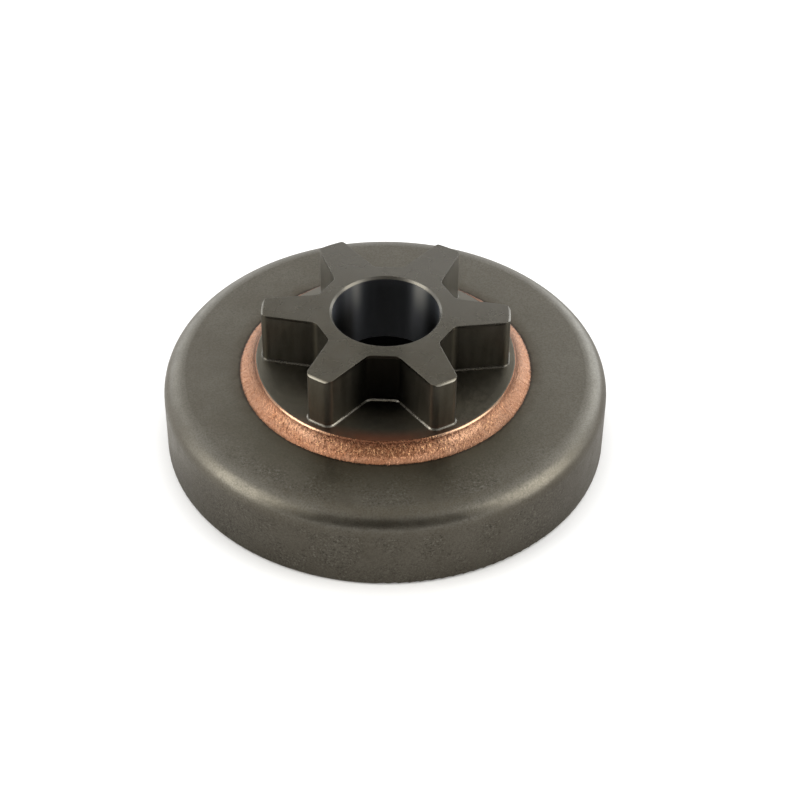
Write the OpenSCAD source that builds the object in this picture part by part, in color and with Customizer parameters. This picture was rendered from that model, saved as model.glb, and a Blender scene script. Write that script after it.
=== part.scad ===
// Clutch drum with a brazed-on spur sprocket, a spare part for a chainsaw.
// The axis is Z. The open rim of the drum lies at z = 0 and the teeth point up.
// One tooth points along +X. All lengths are in millimetres.

/* [Drum] */
// Outside diameter of the drum
drum_d = 59; // [54:0.5:75]
// Height of the drum, from its open rim to its flat face
drum_h = 11; // [9:0.5:16]
// Thickness of the drum's cylindrical wall
wall_t = 2.5; // [1.5:0.1:4]
// Thickness of the drum's flat web
web_t = 2.4; // [1.5:0.1:4]
// Radius of the rounded corner between the face and the wall
corner_r = 2.9; // [1.5:0.1:5]
// Radius of the corner inside the drum
inner_corner_r = 1.2; // [0.3:0.1:2]
// Radius of the two edges of the open rim
rim_edge_r = 0.3; // [0.1:0.1:0.7]

/* [Teeth] */
// Number of teeth
teeth = 6; // [6:1:8]
// Spacing of the chain's drive links, which is twice its nominal pitch
link_spacing = 19.05; // [18.6:0.05:20.6]
// How far the tooth tips lie inside the pitch circle
tip_drop = 2.8; // [2:0.1:3.6]
// Depth of a tooth gap, from the tips to the floor of the gap
gap_depth = 7.05; // [5:0.05:7.5]
// Width of the floor of a gap, measured where the flank lines meet it
gap_floor_w = 3.9; // [3:0.1:4.5]
// Angle between the two flanks of a gap, in degrees
gap_angle = 78; // [70:1:82]
// Height of the teeth above the flange
tooth_h = 7.45; // [6:0.05:10]
// Radius of the two upright corners at a tooth's tip
tip_corner_r = 1; // [0.4:0.1:1]
// Radius of the two upright corners in the floor of a gap
floor_corner_r = 1.2; // [0.8:0.1:1.6]
// Chamfer turned on the top edge of the tooth tips
tip_chamfer = 0.25; // [0.1:0.05:0.5]

/* [Flange and hub] */
// Width of the flange's shoulder beyond the tooth tips
flange_margin = 1.05; // [1:0.05:3]
// Thickness of the flange on the drum's face
flange_t = 2; // [1.5:0.1:4]
// Radius of the flange's upper edge
flange_edge_r = 0.3; // [0.2:0.05:0.6]
// Outside diameter of the hub that passes through the drum's web
hub_d = 20; // [18:0.5:26]
// How far the hub stands out of the web, inside the drum
hub_stand = 1.15; // [0.8:0.05:3]
// Chamfer at the hub's end
hub_chamfer = 0.3; // [0.1:0.05:0.5]
// Bore for the needle cage
bore_d = 14; // [10:0.5:15]
// Length of the bore, from the top of the teeth to the recess in the hub
bore_len = 10.35; // [9:0.05:12]
// Chamfer at both ends of the bore
bore_chamfer = 0.3; // [0.1:0.05:0.6]
// How much wider the recess in the hub is than the bore, on each side
recess_w = 1.5; // [0.8:0.1:1.8]

/* [Copper braze] */
// Radial gap around the hub, which the copper fills
braze_gap = 0.05; // [0.02:0.01:0.1]
// Width of the copper ring on the drum's face
braze_w = 2; // [1:0.1:3]
// How far the copper stops below the flange's rounded edge
braze_drop = 0.1; // [0:0.05:0.4]
// How far the ring's face is hollowed below a straight slope
braze_hollow = 0.25; // [0.05:0.05:0.35]
// Width of the thin copper ring around the hub, inside the drum
hub_braze_w = 0.8; // [0.4:0.1:1.5]
// Height of that thin ring
hub_braze_h = 0.6; // [0.2:0.05:0.6]

/* [Hidden] */
$fn = 96;
// Overlap that keeps a cut or a joined piece clear of a shared face
lap = 0.05;
// Spare length of a cut beyond the material
over = 1;

drum_r = drum_d / 2;
inner_r = drum_r - wall_t;
web_z = drum_h - web_t;

step = 360 / teeth;
pitch_r = link_spacing / 2 / sin(step / 2);
tip_r = pitch_r - tip_drop;
floor_r = tip_r - gap_depth;
flange_r = tip_r + flange_margin;
flange_z = drum_h + flange_t;
top_z = flange_z + tooth_h;

hub_r = hub_d / 2;
hub_z = web_z - hub_stand;
bore_r = bore_d / 2;
recess_r = bore_r + recess_w;
recess_z = top_z - bore_len;
braze_h = flange_t - flange_edge_r - braze_drop;

// One flank of a gap. The gap's middle line is X, and the flank's own line
// starts at flank_start, runs along flank_dir and has the tooth on the side
// that flank_normal points to.
flank_angle = gap_angle / 2;
flank_start = [floor_r, gap_floor_w / 2];
flank_dir = [cos(flank_angle), sin(flank_angle)];
flank_normal = [-sin(flank_angle), cos(flank_angle)];

// Rounded corner between the gap's floor and the flank
floor_corner_run = floor_corner_r * (1 - sin(flank_angle)) / cos(flank_angle);
flank_foot = flank_start + floor_corner_run * flank_dir;
floor_corner = flank_foot - floor_corner_r * flank_normal;

// Rounded corner between the flank and the tooth's tip
tip_corner_base = flank_start + tip_corner_r * flank_normal;
tip_corner_along = tip_corner_base * flank_dir;
tip_corner_reach = pow(tip_r - tip_corner_r, 2) - tip_corner_base * tip_corner_base;
tip_corner_run = sqrt(pow(tip_corner_along, 2) + tip_corner_reach) - tip_corner_along;
tip_corner = tip_corner_base + tip_corner_run * flank_dir;
tip_corner_angle = atan2(tip_corner[1], tip_corner[0]);
flank_len = tip_corner_run - floor_corner_run;

// Everything outside a quarter circle that rounds the corner at the origin.
// The material lies towards -X and -Y.
module corner_cut(r) {
    translate([-r, -r])
        difference() {
            square(r + over);
            circle(r);
        }
}

// Section of a chamfer cut on an edge at the origin, with material towards +X and -Y
module chamfer_section(c) {
    polygon([[-lap, -c - lap], [c + lap, lap], [-lap, lap]]);
}

// The same on both sides of the gap
module both_sides() {
    children();
    mirror([0, 1, 0])
        children();
}

// The same in every gap
module every_gap() {
    for (k = [0:teeth - 1])
        rotate((k + 0.5) * step)
            children();
}

// The drum: a pressed steel cup with a hole in its web for the sprocket's hub
module clutch_drum() {
    color("#6a6962")
        rotate_extrude()
            drum_section();
}

module drum_section() {
    difference() {
        translate([hub_r + braze_gap, 0])
            square([drum_r - hub_r - braze_gap, drum_h]);
        translate([drum_r, drum_h])
            corner_cut(corner_r);
        translate([drum_r, 0])
            mirror([0, 1])
                corner_cut(rim_edge_r);
        translate([inner_r, 0])
            mirror([1, 0])
                mirror([0, 1])
                    corner_cut(rim_edge_r);
        cavity_section();
    }
}

module cavity_section() {
    difference() {
        translate([0, -over])
            square([inner_r, web_z + over]);
        translate([inner_r, web_z])
            corner_cut(inner_corner_r);
    }
}

// Plan of the teeth
module teeth_plan() {
    difference() {
        circle(tip_r);
        every_gap()
            gap_plan();
    }
}

// Plan of one gap, with a rounded floor, straight flanks and rounded tip corners
module gap_plan() {
    flank_end = flank_foot + (flank_len + over) * flank_dir;
    far = tip_r + over;
    polygon([
        [floor_r, floor_corner[1]],
        flank_foot,
        flank_end,
        [far, flank_end[1]],
        [far, -flank_end[1]],
        [flank_end[0], -flank_end[1]],
        [flank_foot[0], -flank_foot[1]],
        [floor_r, -floor_corner[1]]
    ]);
    both_sides() {
        translate(floor_corner)
            circle(floor_corner_r);
        tip_corner_cut();
    }
}

// What is cut off a tooth's tip to round the corner at the flank
module tip_corner_cut() {
    tip_dir = [cos(tip_corner_angle), sin(tip_corner_angle)];
    beside = tip_corner - (tip_corner_r + lap) * flank_normal;
    difference() {
        polygon([
            tip_corner,
            beside,
            beside + over * flank_dir,
            tip_corner + (tip_corner_r + over) * tip_dir
        ]);
        translate(tip_corner)
            circle(tip_corner_r);
    }
}

// The sprocket: teeth, flange and hub in one piece, with a stepped bore through all
module spur_sprocket() {
    color("#57564f")
        difference() {
            union() {
                rotate_extrude()
                    hub_section();
                translate([0, 0, flange_z - lap])
                    linear_extrude(tooth_h + lap)
                        teeth_plan();
            }
            rotate_extrude() {
                bore_section();
                translate([tip_r, top_z])
                    mirror([1, 0])
                        chamfer_section(tip_chamfer);
            }
        }
}

module hub_section() {
    difference() {
        union() {
            translate([0, hub_z])
                square([hub_r, drum_h - hub_z]);
            translate([0, drum_h])
                square([flange_r, flange_t]);
        }
        translate([flange_r, flange_z])
            corner_cut(flange_edge_r);
        translate([hub_r, hub_z])
            rotate(180)
                chamfer_section(hub_chamfer);
    }
}

// The bore, and the wider recess that gives the clutch side room for a thrust washer
module bore_section() {
    translate([0, recess_z - lap])
        square([bore_r, bore_len + lap + over]);
    translate([bore_r, top_z])
        chamfer_section(bore_chamfer);
    translate([bore_r, recess_z])
        mirror([0, 1])
            chamfer_section(bore_chamfer);
    translate([0, hub_z - over])
        square([recess_r, recess_z - hub_z + over]);
}

// The copper ring between the flange and the drum's face
module braze_ring() {
    color("#b5764e")
        rotate_extrude()
            translate([flange_r, drum_h])
                braze_section(braze_w, braze_h, braze_hollow);
}

// The thin copper ring around the hub, inside the drum
module hub_braze() {
    color("#b5764e")
        rotate_extrude()
            translate([hub_r, web_z])
                mirror([0, 1])
                    braze_section(hub_braze_w, hub_braze_h, braze_hollow / 2);
}

// Section of a copper fillet with a hollow face
module braze_section(w, h, hollow) {
    slope = norm([w, h]);
    face_r = pow(slope, 2) / 8 / hollow + hollow / 2;
    outward = [h, w] / slope;
    difference() {
        polygon([[0, 0], [w, 0], [0, h]]);
        translate([w, h] / 2 + (face_r - hollow) * outward)
            circle(face_r);
    }
}

clutch_drum();
spur_sprocket();
braze_ring();
hub_braze();
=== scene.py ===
"""Looks of a chainsaw clutch drum with its brazed-on spur sprocket.

The drum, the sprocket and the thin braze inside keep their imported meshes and
get new materials. The script adds the small hollow at the foot of the teeth
and a grainy copper ring that stands for the plain one.
The camera looks from the front, which is -Y.
"""

import math

import bpy
from mathutils import Matrix, Vector, noise


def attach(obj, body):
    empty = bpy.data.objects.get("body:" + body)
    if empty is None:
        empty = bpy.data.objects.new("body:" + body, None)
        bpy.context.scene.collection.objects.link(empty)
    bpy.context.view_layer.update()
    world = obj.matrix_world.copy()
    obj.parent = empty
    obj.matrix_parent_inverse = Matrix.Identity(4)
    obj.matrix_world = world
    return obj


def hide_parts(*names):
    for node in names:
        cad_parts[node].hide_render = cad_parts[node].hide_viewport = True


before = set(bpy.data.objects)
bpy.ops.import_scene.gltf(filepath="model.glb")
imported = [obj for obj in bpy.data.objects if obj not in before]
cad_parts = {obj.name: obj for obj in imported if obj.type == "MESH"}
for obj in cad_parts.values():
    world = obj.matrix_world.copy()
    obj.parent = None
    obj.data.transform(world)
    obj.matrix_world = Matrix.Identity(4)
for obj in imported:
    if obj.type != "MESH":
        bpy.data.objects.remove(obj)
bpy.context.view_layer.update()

MM = 0.001

# Driving sizes of the part, in millimetres
TEETH = 6
LINK_SPACING = 19.05
TIP_DROP = 2.8
GAP_DEPTH = 7.05
GAP_FLOOR_W = 3.9
GAP_ANGLE = math.radians(78)
TIP_CORNER_R = 1.0
FLOOR_CORNER_R = 1.2
TOOTH_H = 7.45
FLANGE_MARGIN = 1.05
FLANGE_T = 2.0
FLANGE_EDGE_R = 0.3
BORE_D = 14.0
BORE_LEN = 10.35
BORE_CHAMFER = 0.3
RECESS_W = 1.5
DRUM_D = 59.0
DRUM_H = 11.0
CORNER_R = 2.9
BRAZE_W = 2.0
BRAZE_HOLLOW = 0.25

# Sizes that follow from them
TIP_R = LINK_SPACING / 2 / math.sin(math.pi / TEETH) - TIP_DROP
FLOOR_R = TIP_R - GAP_DEPTH
FLANGE_R = TIP_R + FLANGE_MARGIN
FLANGE_Z = DRUM_H + FLANGE_T
TOP_Z = FLANGE_Z + TOOTH_H
BORE_R = BORE_D / 2
RECESS_R = BORE_R + RECESS_W
RECESS_Z = TOP_Z - BORE_LEN
DRUM_R = DRUM_D / 2
CORNER_START_R = DRUM_R - CORNER_R
CORNER_START_Z = DRUM_H - CORNER_R
BRAZE_R = FLANGE_R + BRAZE_W

# The hollow at the foot of the teeth, and how deep the added pieces sink into the part,
# in millimetres
FOOT_R = 0.2
SUNK = 0.05

# The copper ring's film on the flange's edge, its grain and lumps, and how far its outer
# edge wanders and stands off the drum's face, in millimetres
FILM_T = 0.02
GRAIN_DEPTH = 0.038
LUMP_DEPTH = 0.02
EDGE_WAVE = 0.06
EDGE_RAG = 0.07
EDGE_LIFT = 0.02

# Where the film starts and ends on the flange's rounded edge, in degrees above the level.
# The start is higher in front and swings a little.
FILM_START = 68
FILM_START_FRONT = 14
FILM_START_SWING = 8
FILM_END = 27

# Points on the added outlines and sections
FLOOR_STEPS = 6
FLOOR_CORNER_STEPS = 14
FLANK_STEPS = 12
TIP_CORNER_STEPS = 16
TIP_STEPS = 6
FOOT_STEPS = 8
RING_STEPS = 1500
SLOPE_STEPS = 32
LIP_STEPS = 6

# Camera, as fitted to the photograph, with its place in millimetres
LENS_MM = 90.98
SENSOR_MM = 36
CAM_ELEVATION = math.radians(41.24)
CAM_TURN = math.radians(1.5)
CAM_ROLL = math.radians(0.68)
CAM_DEPTH = 276.2
CAM_OFFSET_X = -2.015
CAM_OFFSET_Y = -3.734

# Colours of the light
WHITE = (1.0, 1.0, 1.0)
WARM = (1.0, 0.965, 0.88)
COOL = (0.96, 1.0, 1.04)

UP = (0, 0, 1)
DOWN = (0, 0, -1)


# Small helpers


def link(obj):
    bpy.context.scene.collection.objects.link(obj)
    return obj


def direction(azimuth, elevation):
    """Unit vector at an azimuth from +X and an elevation, in degrees."""
    a, e = math.radians(azimuth), math.radians(elevation)
    return Vector((math.cos(a) * math.cos(e), math.sin(a) * math.cos(e), math.sin(e)))


def polar(r, angle):
    """The flat point at distance r from the origin and at an angle in radians."""
    return r * Vector((math.cos(angle), math.sin(angle)))


def arc(centre, r, first, last, steps):
    """Points on an arc from the angle first to the angle last, with both ends."""
    angles = [first + (last - first) * i / steps for i in range(steps + 1)]
    return [centre + polar(r, a) for a in angles]


def ring_mesh(name, loops):
    """Closed mesh of equal closed loops of points in mm, joined side by side all round."""
    count, size = len(loops), len(loops[0])
    points = [Vector(p) * MM for loop in loops for p in loop]
    faces = []
    for i in range(count):
        here, there = i * size, (i + 1) % count * size
        for j in range(size):
            k = (j + 1) % size
            faces.append((here + j, here + k, there + k, there + j))
    mesh = bpy.data.meshes.new(name)
    mesh.from_pydata(points, [], faces)
    mesh.update()
    mesh.shade_smooth()
    return mesh


def add_piece(name, mesh, material):
    mesh.materials.append(material)
    piece = link(bpy.data.objects.new(name, mesh))
    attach(piece, "root")
    return piece


def dress(node, material):
    """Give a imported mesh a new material."""
    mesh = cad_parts[node].data
    mesh.materials.clear()
    mesh.materials.append(material)


# Materials


class Metal:
    """A metal material, painted in layers of colour and roughness.

    Lengths are in millimetres and noise scales are per millimetre. An amount below 0
    counts as 0 where it is used.
    """

    def __init__(self, name):
        self.data = bpy.data.materials.new(name)
        self.data.use_nodes = True
        self.tree = self.data.node_tree
        self.shader = self.tree.nodes["Principled BSDF"]
        self.shader.inputs["Metallic"].default_value = 1
        metres = self.add("ShaderNodeTexCoord").outputs["Object"]
        self.position = self.vector("SCALE", metres, scale=1 / MM)
        self.color = None
        self.roughness = None

    def add(self, kind, **settings):
        node = self.tree.nodes.new(kind)
        for key, value in settings.items():
            setattr(node, key, value)
        return node

    def plug(self, socket, value):
        if isinstance(value, bpy.types.NodeSocket):
            self.tree.links.new(value, socket)
        else:
            socket.default_value = value

    def vector(self, operation, a, b=None, scale=None, result="Vector"):
        node = self.add("ShaderNodeVectorMath", operation=operation)
        self.plug(node.inputs[0], a)
        if b is not None:
            self.plug(node.inputs[1], b)
        if scale is not None:
            self.plug(node.inputs["Scale"], scale)
        return node.outputs[result]

    def math(self, operation, a, b=0.0):
        node = self.add("ShaderNodeMath", operation=operation)
        self.plug(node.inputs[0], a)
        self.plug(node.inputs[1], b)
        return node.outputs[0]

    def product(self, first, *others):
        for other in others:
            first = self.math("MULTIPLY", first, other)
        return first

    def noise(self, scale, detail=2.0, roughness=0.5, stretch=(1, 1, 1)):
        node = self.add("ShaderNodeTexNoise")
        self.plug(node.inputs["Vector"], self.vector("MULTIPLY", self.position, stretch))
        node.inputs["Scale"].default_value = scale
        node.inputs["Detail"].default_value = detail
        node.inputs["Roughness"].default_value = roughness
        return node.outputs["Fac"]

    def spread(self, value, low, high, start=0.0, end=1.0):
        """Smooth step of value from low to high, as a number from start to end."""
        node = self.add("ShaderNodeMapRange", interpolation_type="SMOOTHSTEP")
        for name, number in (
            ("Value", value),
            ("From Min", low),
            ("From Max", high),
            ("To Min", start),
            ("To Max", end),
        ):
            self.plug(node.inputs[name], number)
        return node.outputs["Result"]

    def patches(self, scale, detail, roughness, start=0.0, end=1.0):
        """Soft patches of noise, as a number from start to end."""
        return self.spread(self.noise(scale, detail, roughness), 0.3, 0.7, start, end)

    def blend(self, amount, a, b):
        """Colour a where amount is 0 and colour b where it is 1."""
        node = self.add("ShaderNodeMix", data_type="RGBA")
        colors = [s for s in node.inputs if s.type == "RGBA"]
        self.plug(node.inputs[0], amount)
        for socket, color in zip(colors, (a, b)):
            self.plug(socket, (*color, 1) if isinstance(color, tuple) else color)
        return next(s for s in node.outputs if s.type == "RGBA")

    def mix(self, amount, a, b):
        """Number a where amount is 0 and number b where it is 1."""
        node = self.add("ShaderNodeMix", data_type="FLOAT")
        for name, number in (("Factor", amount), ("A", a), ("B", b)):
            self.plug(next(s for s in node.inputs if s.name == name and s.type == "VALUE"), number)
        return next(s for s in node.outputs if s.type == "VALUE")

    def paint(self, color, *amounts):
        """Lay a colour over the metal, as strongly as the amounts say together."""
        self.color = self.blend(self.product(*amounts), self.color, color)

    def roughen(self, roughness, amount):
        """Bring the roughness to a new one, as strongly as the amount says."""
        self.roughness = self.mix(amount, self.roughness, roughness)

    def place(self, axis):
        """Position along X, Y or Z."""
        node = self.add("ShaderNodeSeparateXYZ")
        self.plug(node.inputs[0], self.position)
        return node.outputs[axis]

    def radius(self):
        """Distance from the part's axis."""
        flat = self.vector("MULTIPLY", self.position, (1, 1, 0))
        return self.vector("LENGTH", flat, result="Value")

    def across(self):
        """Distance to the left or to the right of the middle."""
        return self.math("ABSOLUTE", self.place("X"))

    def uneven_radius(self, scale, detail, roughness, depth):
        """Distance from the part's axis with noise added, up to depth."""
        wander = self.product(self.noise(scale, detail, roughness), depth)
        return self.math("ADD", self.radius(), wander)

    def bump(self, height, distance, normal=None):
        node = self.add("ShaderNodeBump")
        if isinstance(distance, bpy.types.NodeSocket):
            distance = self.product(distance, MM)
        else:
            distance = distance * MM
        self.plug(node.inputs["Distance"], distance)
        self.plug(node.inputs["Height"], height)
        if normal is not None:
            self.plug(node.inputs["Normal"], normal)
        return node.outputs["Normal"]

    def rounded_edges(self, radius):
        """The surface's normal with its sharp edges rounded."""
        node = self.add("ShaderNodeBevel", samples=4)
        node.inputs["Radius"].default_value = radius * MM
        return node.outputs["Normal"]

    def oil(self, weight, roughness):
        """A thin film of oil, which brightens the metal at a low angle."""
        self.shader.inputs["Coat Weight"].default_value = weight
        self.shader.inputs["Coat Roughness"].default_value = roughness

    def brush(self, amount, along):
        """Draw highlights out along one direction, as fine parallel grooves do."""
        tangent = self.add("ShaderNodeCombineXYZ")
        for socket, number in zip(tangent.inputs, along):
            socket.default_value = number
        self.plug(self.shader.inputs["Anisotropic"], amount)
        self.plug(self.shader.inputs["Tangent"], tangent.outputs[0])

    def finish(self, normal):
        self.plug(self.shader.inputs["Base Color"], self.color)
        self.plug(self.shader.inputs["Roughness"], self.roughness)
        self.plug(self.shader.inputs["Normal"], normal)
        return self.data


# The drum's steel

DRUM_DARK = (0.15, 0.137, 0.111)
DRUM_PALE = (0.178, 0.166, 0.139)
# Painted light for the right of the face
DRUM_LIT_RIGHT = (0.225, 0.213, 0.183)
DRUM_GRAIN = (0.09, 0.083, 0.064)
DRUM_PIT = (0.05, 0.045, 0.038)
DRUM_SPECK = (0.3, 0.285, 0.25)
RESIDUE_AND_SHADE = (0.075, 0.056, 0.036)
SMOKE_AND_SHADE = (0.085, 0.077, 0.053)
SEAM = (0.03, 0.018, 0.012)


def speckle_front(metal, grain):
    """Make the drum's front side rougher in patches, with dark and bright specks."""
    corner = metal.product(
        metal.spread(metal.radius(), CORNER_START_R - 0.5, CORNER_START_R + 0.5),
        metal.spread(metal.place("Z"), CORNER_START_Z - 0.5, CORNER_START_Z + 0.5),
    )
    rough = metal.product(
        metal.spread(metal.place("Y"), -12.0, -21.0),
        metal.spread(metal.noise(0.3, 3, 0.6), 0.34, 0.62),
        metal.mix(corner, 1.0, 0.3),
    )
    metal.paint(DRUM_GRAIN, metal.spread(grain, 0.38, 0.62), metal.mix(rough, 0.45, 0.8))
    specks = metal.noise(2.8, 2, 0.6)
    metal.paint(DRUM_PIT, metal.spread(specks, 0.58, 0.68), metal.mix(rough, 0.12, 0.75))
    metal.paint(DRUM_SPECK, metal.spread(specks, 0.42, 0.32), metal.mix(rough, 0.0, 0.55))


def mark_brazing_and_shade(metal, face):
    """Darken the face beside the copper, mostly in front, with brazing residue and smoke that are
    also painted shade.
    """
    # Brazing residue beside the copper, darkened also as painted contact shade
    metal.paint(
        RESIDUE_AND_SHADE,
        metal.spread(metal.radius(), BRAZE_R + 2.2, BRAZE_R - 0.3),
        metal.patches(0.5, 3, 0.5, 0.5, 1.0),
        face,
    )
    # Smoke in front of the ring, darkened also as painted shade
    metal.paint(
        SMOKE_AND_SHADE,
        metal.spread(metal.place("Y"), -4.0, -18.0, 0.3, 1.0),
        metal.spread(metal.radius(), BRAZE_R + 8.5, BRAZE_R + 1.0, 0.0, 0.72),
        face,
    )
    seam = metal.spread(metal.uneven_radius(1.6, 3, 0.5, 0.5), BRAZE_R + 0.75, BRAZE_R + 0.25)
    metal.paint(SEAM, seam, face, 0.7)


def drum_steel():
    metal = Metal("drum_steel")
    metal.color = metal.blend(metal.patches(0.14, 5, 0.6), DRUM_DARK, DRUM_PALE)
    grain = metal.noise(4.5, 3, 0.7)
    metal.roughness = metal.math(
        "ADD",
        metal.patches(0.5, 4, 0.6, 0.29, 0.39),
        metal.spread(grain, 0.3, 0.7, 0.0, 0.08),
    )
    metal.oil(0.3, 0.25)

    # Painted light: the face is painted a little lighter on the right
    face = metal.spread(metal.place("Z"), DRUM_H - 1.0, DRUM_H - 0.5)
    metal.paint(DRUM_LIT_RIGHT, metal.spread(metal.place("X"), 6.0, 22.0, 0.0, 0.3), face)

    speckle_front(metal, grain)
    mark_brazing_and_shade(metal, face)
    peel = metal.bump(metal.noise(0.8, 3, 0.5), 0.012)
    return metal.finish(metal.bump(grain, 0.014, peel))


# The sprocket's steel

STEEL_DARK = (0.118, 0.108, 0.086)
STEEL_PALE = (0.132, 0.124, 0.103)
STEEL_GRAIN = (0.08, 0.073, 0.058)
STREAK = (0.16, 0.149, 0.122)
FLANGE_LIT = (0.2, 0.188, 0.152)
GAP_SHADE = (0.022, 0.02, 0.016)
BACK_FLANK_LIGHT = (0.25, 0.24, 0.215)
TOP_LIGHT = (0.19, 0.183, 0.166)
LAND_DARK = (0.075, 0.071, 0.058)
WORN_GLINT = (0.33, 0.315, 0.28)
RECESS_SHADE = (0.006, 0.006, 0.006)
BORE_STEEL = (0.112, 0.118, 0.13)
BORE_GLINT = (0.25, 0.25, 0.24)
BORE_SHADE = (0.03, 0.028, 0.025)
HEAT_TINT = (0.27, 0.118, 0.074)


def paint_flange(metal, below):
    """Paint light on the flange, paler towards its edge, and painted shade in the gaps, darker
    towards their floors.
    """
    # Painted light: paler towards the flange's edge, away from the teeth
    metal.paint(
        FLANGE_LIT,
        metal.spread(metal.radius(), FLANGE_R - 5.3, FLANGE_R - 2.3, 0.0, 0.5),
        metal.spread(metal.place("Z"), FLANGE_Z + 0.1, FLANGE_Z),
        metal.spread(metal.place("Y"), -13.0, -9.0),
    )
    # Painted shade: darker towards the gaps' floors
    metal.paint(
        GAP_SHADE,
        metal.spread(metal.radius(), FLOOR_R + 3.8, FLOOR_R),
        below,
        metal.spread(metal.place("Z"), FLANGE_Z - 0.2, FLANGE_Z),
        metal.spread(metal.place("Y"), -4.5, -8.0, 0.35, 1.0),
    )


def paint_teeth(metal, below):
    # Painted light: the back teeth's flanks are painted lighter, and so are the tops towards the
    # back and the right
    metal.paint(BACK_FLANK_LIGHT, metal.spread(metal.place("Y"), 6.0, 9.0, 0.0, 0.6), below)
    back_right = metal.math("ADD", metal.place("Y"), metal.product(metal.place("X"), 0.4))
    lighter = metal.spread(back_right, -10.0, 14.0, 0.1, 0.7)
    metal.paint(TOP_LIGHT, metal.math("SUBTRACT", lighter, below))

    # The narrow land in front of the bore is darker
    land = metal.product(
        metal.spread(metal.place("Y"), -6.6, -7.6),
        metal.spread(metal.across(), 4.0, 1.5, 0.0, 0.6),
    )
    metal.paint(LAND_DARK, metal.math("SUBTRACT", land, below))

    # The lower edge of the tips' chamfer is smoother and painted bright, partly as wear and partly
    # as a painted highlight
    worn_glint = metal.product(
        metal.spread(metal.radius(), TIP_R - 0.17, TIP_R - 0.1),
        metal.spread(metal.place("Z"), TOP_Z - 0.3, TOP_Z - 0.22),
    )
    metal.roughen(0.22, worn_glint)
    metal.paint(WORN_GLINT, worn_glint, 0.4)


def paint_bore(metal):
    """Paint the bore and the recess below it, and return where the bore is."""
    # The recess is painted nearly black, as painted shade
    recess = metal.product(
        metal.spread(metal.radius(), RECESS_R + 0.1, RECESS_R + 0.02),
        metal.spread(metal.place("Z"), RECESS_Z + 0.05, RECESS_Z - 0.05),
    )
    metal.paint(RECESS_SHADE, recess)

    # The bore is turned. Its fine grooves spread light along the axis.
    start_z = TOP_Z - BORE_CHAMFER
    inside = metal.product(
        metal.spread(metal.radius(), BORE_R + 0.08, BORE_R + 0.03),
        metal.spread(metal.place("Z"), start_z, start_z - 0.03),
    )
    inside = metal.math("SUBTRACT", inside, recess)
    metal.paint(BORE_STEEL, inside)
    metal.roughen(0.36, inside)
    metal.brush(inside, UP)

    # Its upper part has painted highlights as pale streaks, and its left and right sides are
    # painted dark lower down, as painted shade
    left = metal.spread(metal.place("X"), -4.0, -5.1)
    right = metal.spread(metal.place("X"), 4.4, 6.1)
    sides = metal.product(metal.math("ADD", left, right), inside)
    glint_streak = metal.math("SUBTRACT", metal.spread(metal.across(), 3.0, 4.0), sides)
    high = metal.spread(metal.place("Z"), TOP_Z - 6.0, TOP_Z - 1.0, 0.0, 0.9)
    low = metal.spread(metal.place("Z"), TOP_Z - 0.5, TOP_Z - 6.0, 0.1, 0.8)
    metal.paint(BORE_GLINT, glint_streak, high, inside)
    metal.paint(BORE_SHADE, sides, low)
    return inside


def tint_flange(metal):
    """Tint the front of the flange beside the copper, as heat does."""
    patchy = metal.math("ADD", metal.across(), metal.product(metal.noise(0.5, 3), 5.0))
    metal.paint(
        HEAT_TINT,
        metal.spread(metal.radius(), FLANGE_R - 2.7, FLANGE_R - 0.2),
        metal.spread(metal.place("Z"), FLANGE_Z + 1.0, FLANGE_Z),
        metal.spread(metal.place("Y"), -11.5, -15.0),
        metal.spread(patchy, 11.0, 3.5, 0.25, 1.0),
    )


def sprocket_steel():
    metal = Metal("sprocket_steel")
    metal.color = metal.blend(metal.patches(0.3, 4, 0.6), STEEL_DARK, STEEL_PALE)
    metal.roughness = metal.patches(0.25, 3, 0.5, 0.25, 0.31)
    grain = metal.noise(5, 2, 0.6)
    metal.paint(STEEL_GRAIN, metal.spread(grain, 0.35, 0.7, 0.0, 0.25))

    # Below the tooth tops the surface is duller, and the upright faces are streaked
    below = metal.spread(metal.place("Z"), TOP_Z - 0.3, TOP_Z - 0.5)
    streaks = metal.noise(1.3, 3, 0.6, (1, 1, 0.12))
    metal.roughen(metal.spread(streaks, 0.3, 0.7, 0.36, 0.44), below)
    metal.paint(STREAK, metal.spread(streaks, 0.35, 0.7, 0.0, 0.4), below)

    paint_flange(metal, below)
    paint_teeth(metal, below)
    inside = paint_bore(metal)
    tint_flange(metal)

    # The bore has no grain
    grain = metal.mix(inside, grain, 0.5)
    return metal.finish(metal.bump(grain, 0.006, metal.rounded_edges(0.12)))


# The copper

COPPER_DARK = (0.4, 0.183, 0.1)
COPPER_PALE = (0.5, 0.263, 0.163)
COPPER_BACK_SHADE = (0.28, 0.155, 0.095)
COPPER_RIGHT_SHADE = (0.25, 0.15, 0.1)
COPPER_PAINTED_LIGHT = (0.85, 0.5, 0.33)
COPPER_SHADE = (0.13, 0.052, 0.024)
COPPER_PIT = (0.09, 0.03, 0.012)
COPPER_FLECK = (0.86, 0.5, 0.27)
COPPER_RIM = (0.1, 0.045, 0.025)
LIP_GLINT = (0.5, 0.4, 0.29)
LIP_SHADE = (0.13, 0.052, 0.03)


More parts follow.
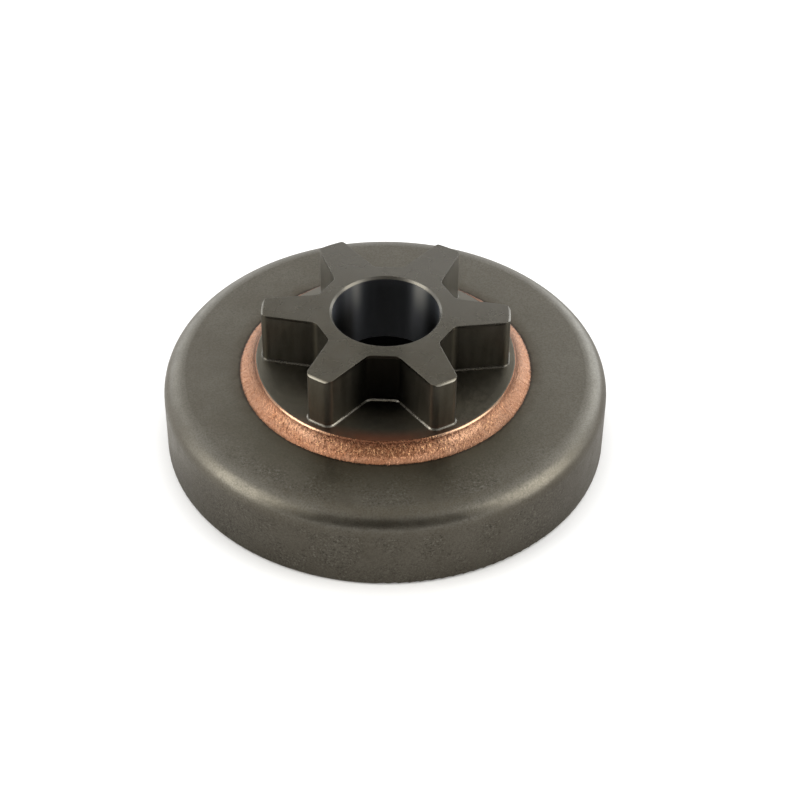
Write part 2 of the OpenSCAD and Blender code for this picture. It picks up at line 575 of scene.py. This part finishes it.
def paint_front(metal):
    """Paint the front of the ring beside the flange, and return how coarse it is.

    It is coarse and has painted shade in the middle, and painted light makes it lighter to the
    left and the right.
    """
    coarse = metal.product(
        metal.spread(metal.place("Y"), -9.0, -15.5),
        metal.spread(metal.radius(), BRAZE_R - 0.3, BRAZE_R - 1.2),
    )
    sides = metal.product(
        metal.spread(metal.across(), 6.8, 9.6),
        metal.spread(metal.across(), 13.6, 11.8),
        coarse,
    )
    inner = metal.spread(metal.radius(), FLANGE_R + 1.1, FLANGE_R + 0.4, 0.0, 0.75)
    # Painted light on the ring's left and right
    metal.paint(COPPER_PAINTED_LIGHT, sides, inner)
    coarse = metal.product(coarse, metal.mix(sides, 1.0, 0.55))
    metal.paint(COPPER_SHADE, coarse, metal.spread(metal.across(), 7.0, 1.5, 0.15, 0.8))
    return coarse


def paint_lip(metal):
    """Paint the lip on the flange's edge, and return where it is smooth.

    It is painted dark as painted shade, and on both sides of the front it is smooth with a painted
    highlight.
    """
    smooth = metal.product(
        metal.spread(metal.place("Y"), -6.5, -9.0),
        metal.spread(metal.place("Y"), -16.6, -15.4),
        metal.spread(metal.radius(), FLANGE_R + 0.06, FLANGE_R - 0.02),
    )
    metal.roughen(0.15, smooth)
    # Painted highlight on the smooth part of the lip
    metal.paint(LIP_GLINT, smooth, 0.3)
    lip = metal.spread(metal.radius(), FLANGE_R + 0.45, FLANGE_R)
    dark = metal.math("SUBTRACT", lip, smooth)
    # Painted shade on the rest of the lip, stronger in front
    metal.paint(LIP_SHADE, dark, metal.spread(metal.place("Y"), -6.0, -16.0, 0.42, 0.75))
    return smooth


def copper():
    metal = Metal("braze_copper")
    metal.color = metal.blend(metal.patches(0.7, 4, 0.6), COPPER_DARK, COPPER_PALE)

    # It is painted darker towards the back and on the right of the front, as painted shade
    metal.paint(COPPER_BACK_SHADE, metal.spread(metal.place("Y"), -13.0, -6.0, 0.0, 0.45))
    metal.paint(
        COPPER_RIGHT_SHADE,
        metal.spread(metal.place("X"), 5.0, 9.0, 0.0, 0.5),
        metal.spread(metal.place("Y"), -7.0, -10.0),
    )
    coarse = paint_front(metal)

    # Its pits and flecks run down the slope
    grain = metal.noise(5.0, 2, 0.6, (1, 0.42, 0.42))
    metal.paint(COPPER_PIT, metal.spread(grain, 0.45, 0.36), metal.mix(coarse, 0.25, 0.8))
    flecks = metal.product(
        metal.spread(grain, 0.56, 0.64),
        metal.mix(coarse, 0.1, 0.75),
        metal.spread(metal.across(), 1.0, 5.0, 0.45, 1.0),
    )
    metal.paint(COPPER_FLECK, flecks)
    metal.roughness = metal.patches(6, 2, 0.5, 0.25, 0.42)
    metal.roughen(0.22, flecks)

    # The outer rim is dark, with an uneven edge
    rim = metal.spread(metal.uneven_radius(1.4, 3, 0.65, 0.7), BRAZE_R + 0.1, BRAZE_R + 0.35)
    metal.paint(COPPER_RIM, rim, 0.7)

    smooth = paint_lip(metal)
    relief = metal.mix(smooth, metal.mix(coarse, 0.09, 0.34), 0.0)
    return metal.finish(metal.bump(grain, relief))


# The steel of the hollow at the foot of the teeth

FOOT_HIGHLIGHT_DIM = (0.24, 0.226, 0.195)
FOOT_HIGHLIGHT_PALE = (0.36, 0.34, 0.298)
FOOT_BACK = (0.11, 0.103, 0.088)
FOOT_TIP = (0.12, 0.112, 0.095)


def foot_steel():
    metal = Metal("foot_steel")
    # The hollow's steel is painted bright, as a painted highlight
    metal.color = metal.blend(metal.patches(0.6, 4, 0.6), FOOT_HIGHLIGHT_DIM, FOOT_HIGHLIGHT_PALE)
    metal.roughness = metal.patches(1.2, 3, 0.5, 0.22, 0.34)

    # It is painted bright as a painted highlight, in front only, and less so below the tips
    metal.paint(FOOT_BACK, metal.spread(metal.place("Y"), -9.0, -7.0))
    metal.paint(FOOT_TIP, metal.spread(metal.radius(), TIP_R - 0.5, TIP_R - 0.1), 0.6)
    return metal.finish(metal.bump(metal.noise(4, 2), 0.004))


# Pieces


def gap_side(grow):
    """One side of a gap's outline, from the middle of its floor to the middle of the
    next tooth's tip, moved into the gap by grow. The gap's middle line is +X.
    """
    half = GAP_ANGLE / 2
    start = Vector((FLOOR_R, GAP_FLOOR_W / 2))
    along = Vector((math.cos(half), math.sin(half)))
    into = Vector((math.sin(half), -math.cos(half)))
    into_angle = math.atan2(into.y, into.x)

    # Centre of the rounded corner between the floor and the flank
    run = FLOOR_CORNER_R * (1 - math.sin(half)) / math.cos(half)
    floor_corner = start + run * along + FLOOR_CORNER_R * into

    # Centre of the rounded corner between the flank and the tip
    base = start - TIP_CORNER_R * into
    reach = (TIP_R - TIP_CORNER_R) ** 2 - base.length_squared
    run = math.sqrt(base.dot(along) ** 2 + reach) - base.dot(along)
    tip_corner = base + run * along
    tip_angle = math.atan2(tip_corner.y, tip_corner.x)

    floor = []
    for i in range(FLOOR_STEPS):
        floor.append(Vector((FLOOR_R + grow, floor_corner.y * i / FLOOR_STEPS)))
    inner_r = FLOOR_CORNER_R - grow
    inner = arc(floor_corner, inner_r, math.pi, into_angle + math.pi, FLOOR_CORNER_STEPS)
    outer = arc(tip_corner, TIP_CORNER_R + grow, into_angle, tip_angle, TIP_CORNER_STEPS)
    flank = [inner[-1].lerp(outer[0], i / FLANK_STEPS) for i in range(1, FLANK_STEPS)]
    tip = arc(Vector((0, 0)), TIP_R + grow, tip_angle, math.pi / TEETH, TIP_STEPS)
    return floor + inner + flank + outer + tip[1:]


def star_outline(grow):
    """The outline of all the teeth, moved outwards by grow."""
    side = gap_side(grow)
    gap = [Vector((p.x, -p.y)) for p in side[:0:-1]] + side[:-1]
    outline = []
    for k in range(TEETH):
        turn = Matrix.Rotation((k + 0.5) * math.tau / TEETH, 2)
        outline += [turn @ p for p in gap]
    return outline


def add_tooth_foot(material):
    """The small hollow where the teeth rise from the flange."""
    section = [(-SUNK, -SUNK), (-SUNK, FOOT_R)]
    centre = Vector((FOOT_R, FOOT_R))
    section += [tuple(p) for p in arc(centre, FOOT_R, math.pi, 1.5 * math.pi, FOOT_STEPS)]
    section.append((FOOT_R, -SUNK))
    rows = [[(p.x, p.y, FLANGE_Z + h) for p in star_outline(grow)] for grow, h in section]
    mesh = ring_mesh("tooth_foot", list(zip(*rows)))
    add_piece("tooth_foot", mesh, material)


def copper_section(turn):
    """Section of the copper ring in the direction turn, as points of radius and height."""
    front = max(0.0, -turn.y) ** 6
    edge = Vector((FLANGE_R - FLANGE_EDGE_R, FLANGE_Z - FLANGE_EDGE_R))
    section = [Vector((edge.x - SUNK, DRUM_H - SUNK))]

    # The copper has wetted the lower part of the flange's rounded edge
    film_r = FLANGE_EDGE_R + FILM_T
    swing = FILM_START_SWING * noise.noise(turn * 6)
    start = math.radians(FILM_START + FILM_START_FRONT * front + swing)
    end = math.radians(FILM_END)
    section.append(edge + polar(FLANGE_EDGE_R - SUNK, start))
    section += arc(edge, film_r, start, end, LIP_STEPS)[:-1]

    # From there it slopes down to the drum's face, with grain, lumps and an uneven edge
    top = edge + polar(film_r, end)
    wave = noise.fractal(turn * 4, 0.6, 2.1, 3) * EDGE_WAVE
    rag = noise.fractal(turn * 45, 0.6, 2.1, 2) * EDGE_RAG
    slope = Vector((BRAZE_R + (wave + rag), DRUM_H)) - top
    outward = Vector((-slope.y, slope.x)).normalized()
    for j in range(SLOPE_STEPS + 1):
        t = j / SLOPE_STEPS
        flat = top + slope * t
        place = turn * flat.x
        place.z = flat.y
        coarse = 0.5 + 0.9 * front * (1 - t)
        grain = noise.fractal(place * 3.4, 0.8, 2.2, 3) * GRAIN_DEPTH * coarse
        lump = noise.noise(place * 0.6) * LUMP_DEPTH
        fade = min(1, 4 * t, 6 * (1 - t) + 0.1)
        sag = 4 * BRAZE_HOLLOW * t * (1 - t)
        point = flat + outward * ((grain + lump) * fade - sag)
        point.y = max(point.y, DRUM_H + EDGE_LIFT * (1 - t))
        section.append(point)
    section.append(Vector((section[-1].x, DRUM_H - SUNK)))
    return section


def add_copper_ring(material):
    """The copper ring between the flange and the drum, with its grain and uneven edge."""
    loops = []
    for i in range(RING_STEPS):
        a = i / RING_STEPS * math.tau
        turn = Vector((math.cos(a), math.sin(a), 0))
        loops.append([(turn.x * p.x, turn.y * p.x, p.y) for p in copper_section(turn)])
    mesh = ring_mesh("copper_ring", loops)
    piece = add_piece("copper_ring", mesh, material)
    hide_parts("braze_ring")


# Studio, where sheets and lights are in metres and degrees


def add_camera():
    right = Vector((math.cos(CAM_TURN), math.sin(CAM_TURN), 0))
    level = Vector((-math.sin(CAM_TURN), math.cos(CAM_TURN), 0))
    forward = level * math.cos(CAM_ELEVATION) - Vector((0, 0, math.sin(CAM_ELEVATION)))
    up = right.cross(forward)
    x = right * math.cos(CAM_ROLL) + up * math.sin(CAM_ROLL)
    y = up * math.cos(CAM_ROLL) - right * math.sin(CAM_ROLL)
    place = -(CAM_OFFSET_X * x + CAM_OFFSET_Y * y + CAM_DEPTH * forward) * MM
    data = bpy.data.cameras.new("camera")
    data.lens = LENS_MM
    data.sensor_width = SENSOR_MM
    data.clip_start = 0.01
    data.clip_end = 20
    camera = link(bpy.data.objects.new("camera", data))
    turn = Matrix((x, y, -forward)).transposed().to_4x4()
    camera.matrix_world = Matrix.Translation(place) @ turn
    bpy.context.scene.camera = camera


def add_sheet(name, place, normal, size, color):
    """A plain sheet that belongs to the studio."""
    mesh = bpy.data.meshes.new(name)
    w, h = size[0] / 2, size[1] / 2
    mesh.from_pydata([(-w, -h, 0), (w, -h, 0), (w, h, 0), (-w, h, 0)], [], [(0, 1, 2, 3)])
    sheet = link(bpy.data.objects.new(name, mesh))
    sheet.location = place
    sheet.rotation_euler = Vector(normal).to_track_quat("Z", "Y").to_euler()
    material = bpy.data.materials.new(name)
    material.use_nodes = True
    shader = material.node_tree.nodes["Principled BSDF"]
    shader.inputs["Base Color"].default_value = (*color, 1)
    shader.inputs["Roughness"].default_value = 1
    shader.inputs["Specular IOR Level"].default_value = 0
    mesh.materials.append(material)
    return sheet


def add_card(name, place, normal, size, color):
    """A sheet that only shows in reflections."""
    card = add_sheet(name, place, normal, size, color)
    card.visible_camera = False
    card.visible_diffuse = False
    card.visible_shadow = False


def add_softbox(name, azimuth, elevation, distance, size, radiance, color):
    """A soft light that the camera doesn't see, aimed at the part."""
    data = bpy.data.lights.new(name, "AREA")
    data.shape = "RECTANGLE"
    data.size, data.size_y = size
    data.energy = radiance * math.pi * size[0] * size[1]
    data.color = color
    light = link(bpy.data.objects.new(name, data))
    away = direction(azimuth, elevation)
    light.location = away * distance
    light.rotation_euler = away.to_track_quat("Z", "Y").to_euler()
    light.visible_camera = False
    return light


def set_world(fill):
    """White for the camera and in reflections, and fill strength for diffuse light."""
    world = bpy.data.worlds.new("studio")
    bpy.context.scene.world = world
    world.use_nodes = True
    tree = world.node_tree
    background = tree.nodes["Background"]
    background.inputs["Color"].default_value = (*WHITE, 1)
    path = tree.nodes.new("ShaderNodeLightPath")
    seen = path.outputs["Is Camera Ray"]
    for name in ("Is Glossy Ray", "Is Transmission Ray"):
        either = tree.nodes.new("ShaderNodeMath")
        either.operation = "MAXIMUM"
        tree.links.new(seen, either.inputs[0])
        tree.links.new(path.outputs[name], either.inputs[1])
        seen = either.outputs[0]
    strength = tree.nodes.new("ShaderNodeMapRange")
    strength.inputs["To Min"].default_value = fill
    strength.inputs["To Max"].default_value = 1
    tree.links.new(seen, strength.inputs["Value"])
    tree.links.new(strength.outputs["Result"], background.inputs["Strength"])


add_camera()
set_world(fill=0.9)
add_sheet("floor", place=(0, 0, -0.0001), normal=UP, size=(6, 6), color=(0.92, 0.92, 0.92))

# The part reflects a dark card in front of it, a grey one overhead and two on the floor, which put
# painted shade on the floor in reflections
front = direction(azimuth=-92, elevation=34)
add_card(
    "dark_card",
    place=front * 0.6,
    normal=-front,
    size=(1.16, 0.55),
    color=(0.05, 0.045, 0.036),
)
add_card(
    "ceiling_card",
    place=(0, 0.21, 0.6),
    normal=DOWN,
    size=(0.36, 1.02),
    color=(0.36, 0.34, 0.3),
)
add_card(
    "floor_shade_card",
    place=(0, 0, 0.0002),
    normal=UP,
    size=(0.3, 0.3),
    color=(0.4, 0.385, 0.365),
)
add_card(
    "floor_shade_card_left",
    place=(-0.09, 0.05, 0.0003),
    normal=UP,
    size=(0.12, 0.19),
    color=(0.53, 0.515, 0.49),
)

# Soft lights stand on both sides, at both rear corners and overhead. The last one
# doesn't show in reflections.
side = {"distance": 0.6, "size": (0.34, 0.5), "color": WARM}
back = {"distance": 0.8, "size": (0.6, 0.6), "color": COOL}
above = {"distance": 1.2, "size": (0.9, 0.9), "color": WHITE}
add_softbox("left_softbox", azimuth=-161, elevation=27, radiance=2.65, **side)
add_softbox("right_softbox", azimuth=-13, elevation=25, radiance=2.5, **side)
add_softbox("back_left_softbox", azimuth=128, elevation=14, radiance=0.95, **back)
add_softbox("back_right_softbox", azimuth=52, elevation=14, radiance=1.45, **back)
top_softbox = add_softbox("top_softbox", azimuth=90, elevation=80, radiance=2.4, **above)
top_softbox.visible_glossy = False

braze = copper()
dress("clutch_drum", drum_steel())
dress("spur_sprocket", sprocket_steel())
dress("hub_braze", braze)
add_tooth_foot(foot_steel())
add_copper_ring(braze)

bpy.context.scene.view_settings.view_transform = "Standard"
